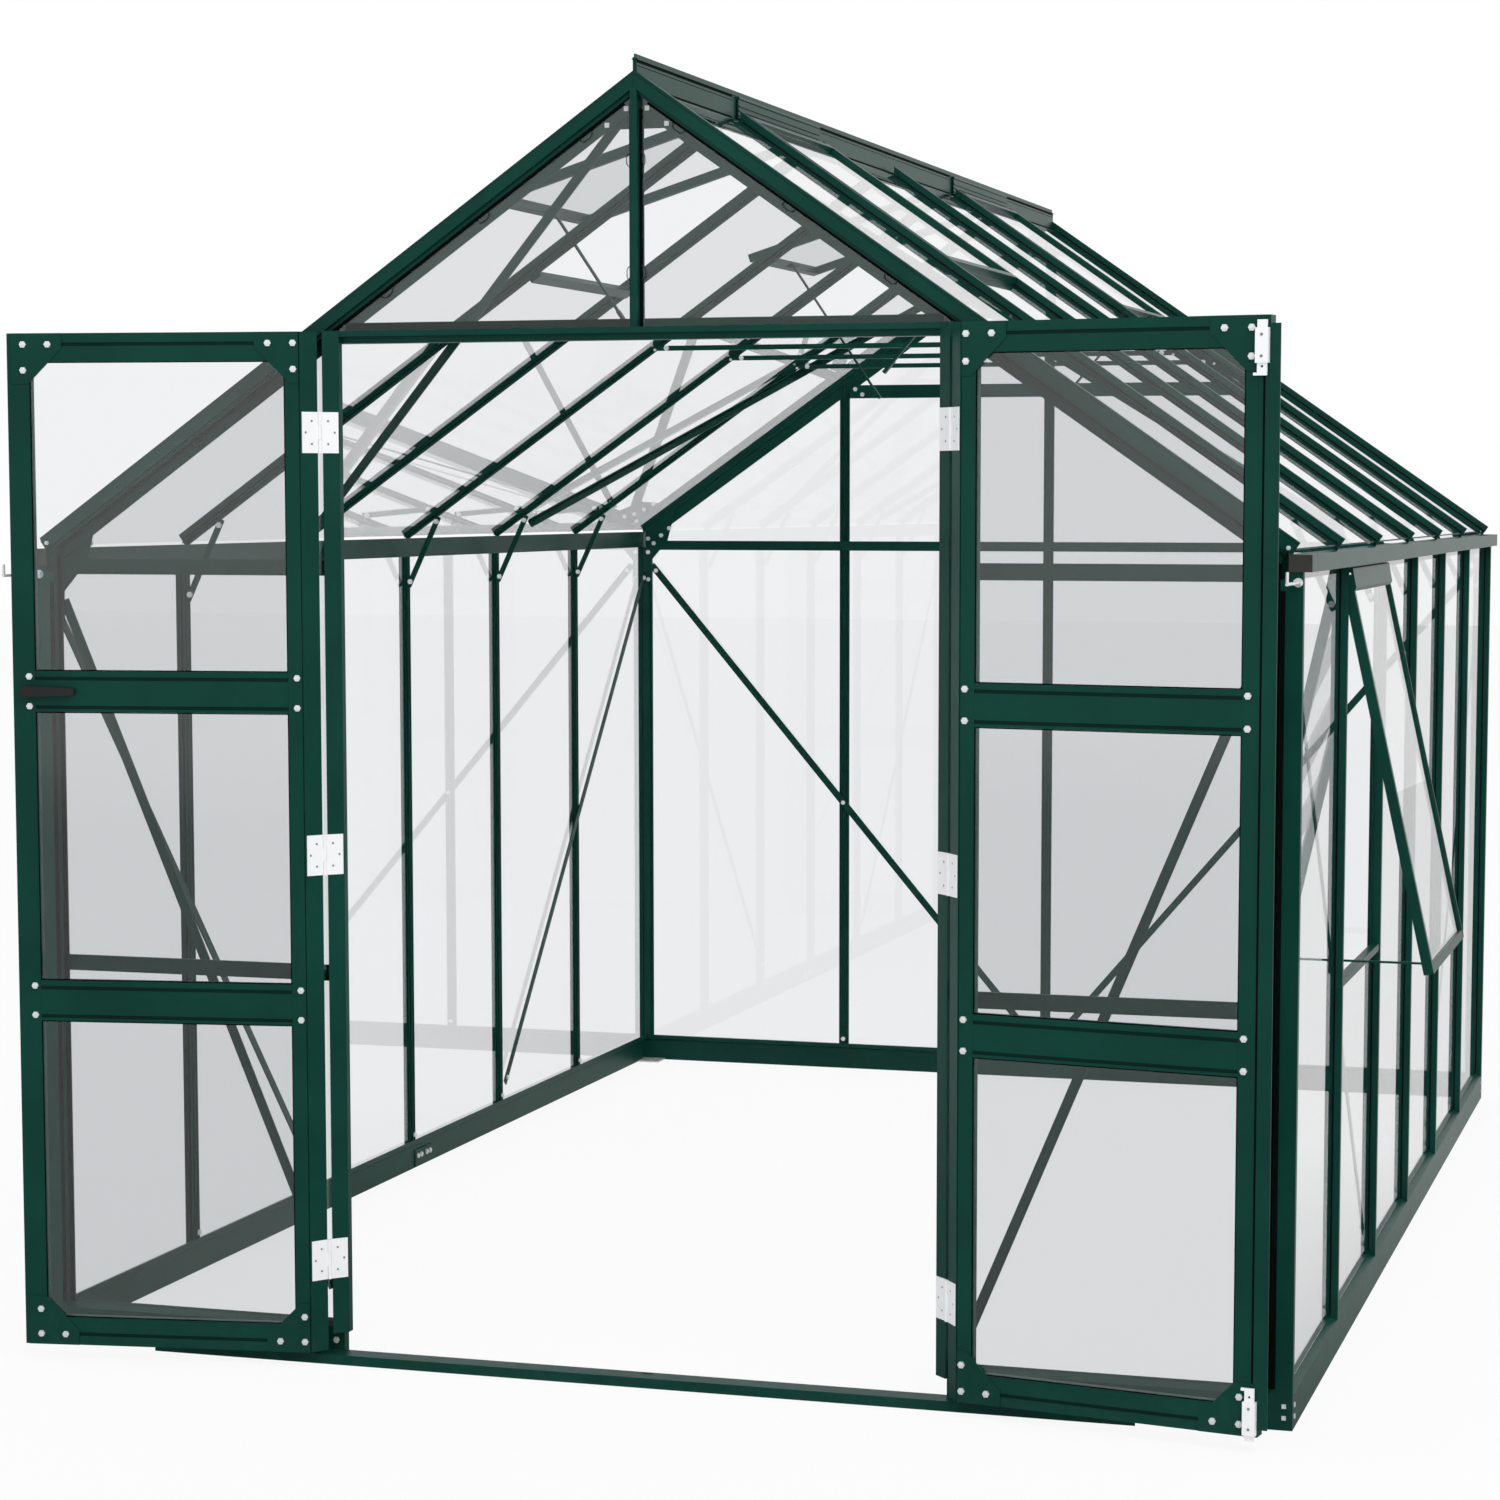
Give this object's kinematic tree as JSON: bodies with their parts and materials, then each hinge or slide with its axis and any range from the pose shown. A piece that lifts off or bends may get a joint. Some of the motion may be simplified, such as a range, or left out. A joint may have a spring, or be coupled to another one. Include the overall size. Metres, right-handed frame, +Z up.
{
  "type": "greenhouse",
  "caption": "Free-standing glazed greenhouse with a pitched roof, double hinged doors, opening roof and side vents, gutters, braced frame and ground anchor plates",
  "frame": {"origin": "centre of the base on the ground, between the four corner anchor plates", "axes": "+X to the house's right seen from the doors, +Y from the doors to the rear gable, +Z up"},
  "size_m": [2.7658, 3.9635, 2.5699],
  "materials": {
    "green_coat": "dark green powder coat, satin",
    "glazing": "clear float glass",
    "plain_metal": "zinc-plated, satin",
    "white_coat": "white powder coat, satin",
    "black_handle": "black, semi-matt",
    "grey_caps": "dark grey, matt"
  },
  "bodies": {
    "frame": {"base_rails": "green_coat", "anchor_plates": "plain_metal", "splice_plates": "green_coat", "threshold_bar": "green_coat", "corner_posts": "green_coat", "door_posts": "green_coat", "side_bars": "green_coat", "rear_bars": "green_coat", "gable_bar": "green_coat", "lintel": "green_coat", "cross_rails": "green_coat", "eave_rails": "green_coat", "gutters": "green_coat", "gutter_end_caps": "grey_caps", "gable_rafters": "green_coat", "roof_bars": "green_coat", "ridge_beam": "green_coat", "collar_ties": "green_coat", "knee_braces": "green_coat", "diagonal_braces": "green_coat", "frame_gussets": "green_coat", "frame_bolts": "plain_metal", "vent_sills": "green_coat", "wall_glass": "glazing", "roof_glass": "glazing", "post_hinge_leaves": "white_coat", "hook_brackets": "plain_metal"},
    "left_door": {"left_door_frame": "green_coat", "left_door_glass": "glazing", "left_door_gussets": "green_coat", "left_door_bolts": "plain_metal", "left_door_hinges": "white_coat"},
    "right_door": {"right_door_frame": "green_coat", "right_door_glass": "glazing", "right_door_gussets": "green_coat", "right_door_bolts": "plain_metal", "right_door_hinges": "white_coat", "astragal": "green_coat", "bolt_cases": "white_coat"},
    "handle": {"door_handle": "black_handle"},
    "top_slide": {"top_bolt": "white_coat"},
    "bottom_slide": {"bottom_bolt": "white_coat"},
    "left_hook": {"left_hook": "plain_metal"},
    "right_hook": {"right_hook": "plain_metal"},
    "left_front_vent": {"left_front_vent": "green_coat", "left_front_pane": "glazing"},
    "left_front_stay": {"left_front_stay": "green_coat"},
    "left_rear_vent": {"left_rear_vent": "green_coat", "left_rear_pane": "glazing"},
    "left_rear_stay": {"left_rear_stay": "green_coat"},
    "right_front_vent": {"right_front_vent": "green_coat", "right_front_pane": "glazing"},
    "right_front_stay": {"right_front_stay": "green_coat"},
    "right_rear_vent": {"right_rear_vent": "green_coat", "right_rear_pane": "glazing"},
    "right_rear_stay": {"right_rear_stay": "green_coat"},
    "side_vent": {"side_vent": "green_coat", "side_vent_pane": "glazing"},
    "side_vent_stay": {"side_vent_stay": "green_coat"}
  },
  "joints": [
    {"name": "left_door_hinge", "type": "hinge", "parent": "frame", "child": "left_door", "pos_m": [-0.634, -1.9325, 1.026], "axis": [0, 0, 1], "range_deg": [-3, 171.1]},
    {"name": "right_door_hinge", "type": "hinge", "parent": "frame", "child": "right_door", "pos_m": [0.634, -1.9325, 1.026], "axis": [0, 0, -1], "range_deg": [-3, 171.1]},
    {"name": "handle_turn", "type": "hinge", "parent": "left_door", "child": "handle", "pos_m": [-1.22144, -2.02449, 1.347], "axis": [-0.1547, 0.988, 0], "range_deg": [0, 50]},
    {"name": "top_bolt_slide", "type": "slide", "parent": "right_door", "child": "top_slide", "axis": [0, 0, 1], "range_m": [0, 0.015]},
    {"name": "bottom_bolt_slide", "type": "slide", "parent": "right_door", "child": "bottom_slide", "axis": [0, 0, -1], "range_m": [0, 0.015]},
    {"name": "left_hook_pivot", "type": "hinge", "parent": "frame", "child": "left_hook", "pos_m": [-1.276, -1.8943, 1.575], "axis": [-1, 0, 0], "range_deg": [0, 90]},
    {"name": "right_hook_pivot", "type": "hinge", "parent": "frame", "child": "right_hook", "pos_m": [1.276, -1.8943, 1.575], "axis": [-1, 0, 0], "range_deg": [0, 90]},
    {"name": "left_front_vent_hinge", "type": "hinge", "parent": "frame", "child": "left_front_vent", "pos_m": [-0.0079, -0.9375, 2.55496], "axis": [0, 1, 0], "range_deg": [-17.6, 25]},
    {"name": "left_front_stay_pivot", "type": "hinge", "parent": "left_front_vent", "child": "left_front_stay", "pos_m": [-0.51459, -0.9375, 2.36051], "axis": [0, 1, 0], "range_deg": [-15.6, 11.1]},
    {"name": "left_rear_vent_hinge", "type": "hinge", "parent": "frame", "child": "left_rear_vent", "pos_m": [-0.0079, 0.9375, 2.55496], "axis": [0, 1, 0], "range_deg": [-17.6, 25]},
    {"name": "left_rear_stay_pivot", "type": "hinge", "parent": "left_rear_vent", "child": "left_rear_stay", "pos_m": [-0.51459, 0.9375, 2.36051], "axis": [0, 1, 0], "range_deg": [-15.6, 11.1]},
    {"name": "right_front_vent_hinge", "type": "hinge", "parent": "frame", "child": "right_front_vent", "pos_m": [0.0079, -0.9375, 2.55496], "axis": [0, -1, 0], "range_deg": [0, 27]},
    {"name": "right_front_stay_pivot", "type": "hinge", "parent": "right_front_vent", "child": "right_front_stay", "pos_m": [0.43207, -0.9375, 2.21641], "axis": [0, -1, 0], "range_deg": [-16.9, 0]},
    {"name": "right_rear_vent_hinge", "type": "hinge", "parent": "frame", "child": "right_rear_vent", "pos_m": [0.0079, 0.9375, 2.55496], "axis": [0, -1, 0], "range_deg": [0, 27]},
    {"name": "right_rear_stay_pivot", "type": "hinge", "parent": "right_rear_vent", "child": "right_rear_stay", "pos_m": [0.43207, 0.9375, 2.21641], "axis": [0, -1, 0], "range_deg": [-16.9, 0]},
    {"name": "side_vent_hinge", "type": "hinge", "parent": "frame", "child": "side_vent", "pos_m": [1.2889, -0.9375, 1.587], "axis": [0, -1, 0], "range_deg": [-12.5, 3]},
    {"name": "side_stay_pivot", "type": "hinge", "parent": "side_vent", "child": "side_vent_stay", "pos_m": [1.43779, -1.122, 0.7842], "axis": [0, -1, 0], "range_deg": [-3.1, 12.6]}
  ],
  "couplings": [
    {"joint": "left_front_stay_pivot", "follows": "left_front_vent_hinge", "ratio": -0.62},
    {"joint": "left_rear_stay_pivot", "follows": "left_rear_vent_hinge", "ratio": -0.62},
    {"joint": "right_front_stay_pivot", "follows": "right_front_vent_hinge", "ratio": -0.62},
    {"joint": "right_rear_stay_pivot", "follows": "right_rear_vent_hinge", "ratio": -0.62},
    {"joint": "side_stay_pivot", "follows": "side_vent_hinge", "ratio": -1}
  ]
}
